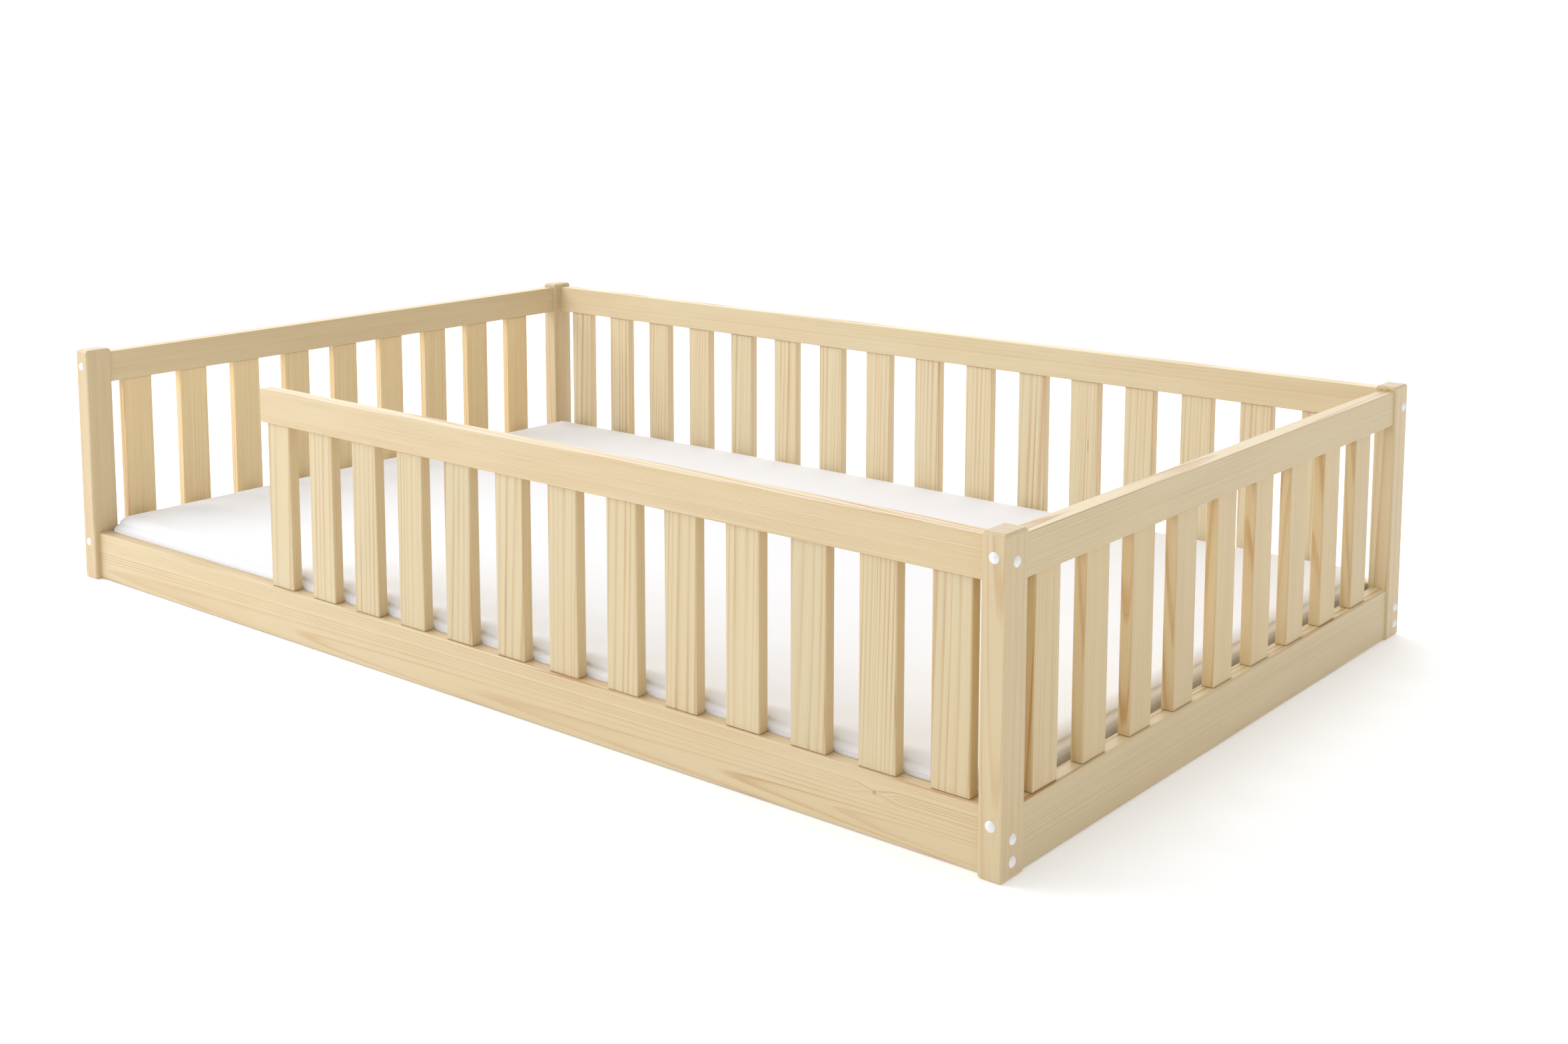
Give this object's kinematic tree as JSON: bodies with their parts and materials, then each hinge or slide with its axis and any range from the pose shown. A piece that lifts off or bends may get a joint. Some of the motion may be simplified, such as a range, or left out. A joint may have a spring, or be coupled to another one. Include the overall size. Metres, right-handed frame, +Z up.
{
  "type": "playpen",
  "caption": "Low rectangular slatted pine play bed on four corner posts, with an entry gap at the front left, a lift-out slat base and a thick mattress.",
  "frame": {"origin": "centre of the footprint, on the floor that the posts stand on", "axes": "+X along the length, away from the entry gap; +Y to the back, away from the side with the entry gap; +Z up"},
  "size_m": [2.092, 1.283, 0.445],
  "materials": {
    "pine": "satin",
    "base_pine": "matte",
    "beech_dowel": "matte",
    "zinc_steel": "satin",
    "white_plastic": "satin",
    "mattress_cloth": "matte",
    "foam": "matte",
    "webbing": "matte"
  },
  "bodies": {
    "frame": {"back_balusters": "pine", "back_bottom_rail": "pine", "back_ledger": "base_pine", "back_top_rail": "pine", "baluster_dowels": "beech_dowel", "frame_screws_long": "zinc_steel", "frame_screws_short": "zinc_steel", "front_baluster_01": "pine", "front_baluster_02": "pine", "front_baluster_03": "pine", "front_baluster_04": "pine", "front_baluster_05": "pine", "front_baluster_06": "pine", "front_baluster_07": "pine", "front_baluster_08": "pine", "front_baluster_09": "pine", "front_baluster_10": "pine", "front_baluster_11": "pine", "front_baluster_12": "pine", "front_baluster_13": "pine", "front_bottom_rail": "pine", "front_ledger": "base_pine", "front_top_rail": "pine", "ledger_screws": "zinc_steel", "left_baluster_1": "pine", "left_baluster_2": "pine", "left_baluster_3": "pine", "left_baluster_4": "pine", "left_baluster_5": "pine", "left_baluster_6": "pine", "left_baluster_7": "pine", "left_baluster_8": "pine", "left_baluster_9": "pine", "left_bottom_rail": "pine", "left_top_rail": "pine", "post_back_left": "pine", "post_back_right": "pine", "post_front_left": "pine", "post_front_right": "pine", "rail_dowels": "beech_dowel", "right_baluster_1": "pine", "right_baluster_2": "pine", "right_baluster_3": "pine", "right_baluster_4": "pine", "right_baluster_5": "pine", "right_baluster_6": "pine", "right_baluster_7": "pine", "right_baluster_8": "pine", "right_baluster_9": "pine", "right_bottom_rail": "pine", "right_top_rail": "pine", "screw_caps": "white_plastic"},
    "slat_base": {"centre_runner": "base_pine", "bed_slats": "base_pine", "slat_screws": "zinc_steel", "slat_straps": "webbing", "strap_staples": "zinc_steel"},
    "mattress": {"mattress_cover": "mattress_cloth", "mattress_core": "foam"}
  },
  "joints": [
    {"name": "slat_base_lift", "type": "slide", "parent": "frame", "child": "slat_base", "axis": [0, 0, 1], "range_m": [0, 0.45]},
    {"name": "mattress_lift", "type": "slide", "parent": "slat_base", "child": "mattress", "axis": [0, 0, 1], "range_m": [0, 0.45]}
  ]
}
